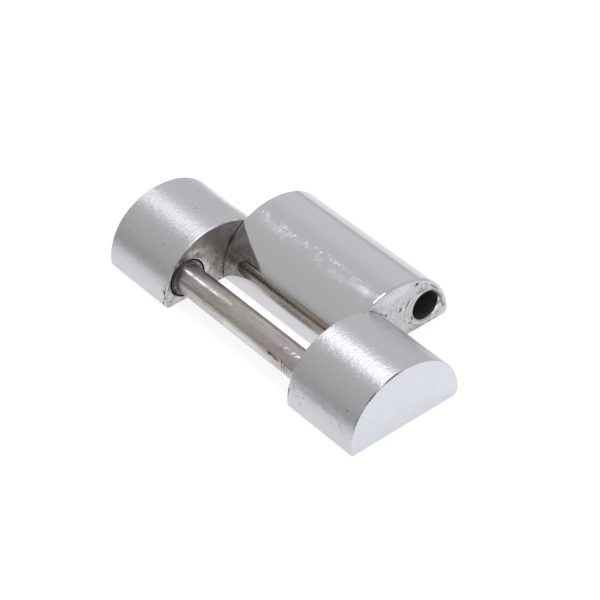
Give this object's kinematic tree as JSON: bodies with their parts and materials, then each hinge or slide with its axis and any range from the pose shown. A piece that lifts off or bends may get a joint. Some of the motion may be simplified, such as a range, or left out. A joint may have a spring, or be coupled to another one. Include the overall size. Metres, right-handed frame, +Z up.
{
  "type": "watch bracelet link",
  "caption": "D-section steel bracelet link: satin outer blocks, polished centre link turning on a hidden pin, and a removable screw bar that carries the next link.",
  "frame": {"origin": "bottom centre of the link, on the flat underside, straight below the pivot pin", "axes": "+X across the bracelet from the screw head's block to the blind block, +Y along the bracelet from the screw bar to the open bore, +Z up from the flat underside to the crowns"},
  "size_m": [0.02, 0.0108, 0.0037],
  "materials": {
    "satin_steel": "fine satin, brushed",
    "polished_steel": "mirror polished, lightly scratched",
    "bar_steel": "turned, worn and slightly stained"
  },
  "bodies": {
    "outer_frame": {"outer_link_left": "satin_steel", "outer_link_right": "satin_steel", "pivot_pin": "bar_steel"},
    "center": {"center_link": "polished_steel"},
    "screw": {"screw_bar": "bar_steel"}
  },
  "joints": [
    {"name": "center_fold", "type": "hinge", "parent": "outer_frame", "child": "center", "pos_m": [0, 0, 0.00132], "axis": [1, 0, 0], "range_deg": [-140, 118]},
    {"name": "screw_out", "type": "slide", "parent": "outer_frame", "child": "screw", "axis": [-1, 0, 0], "range_m": [0, 0.018]}
  ]
}
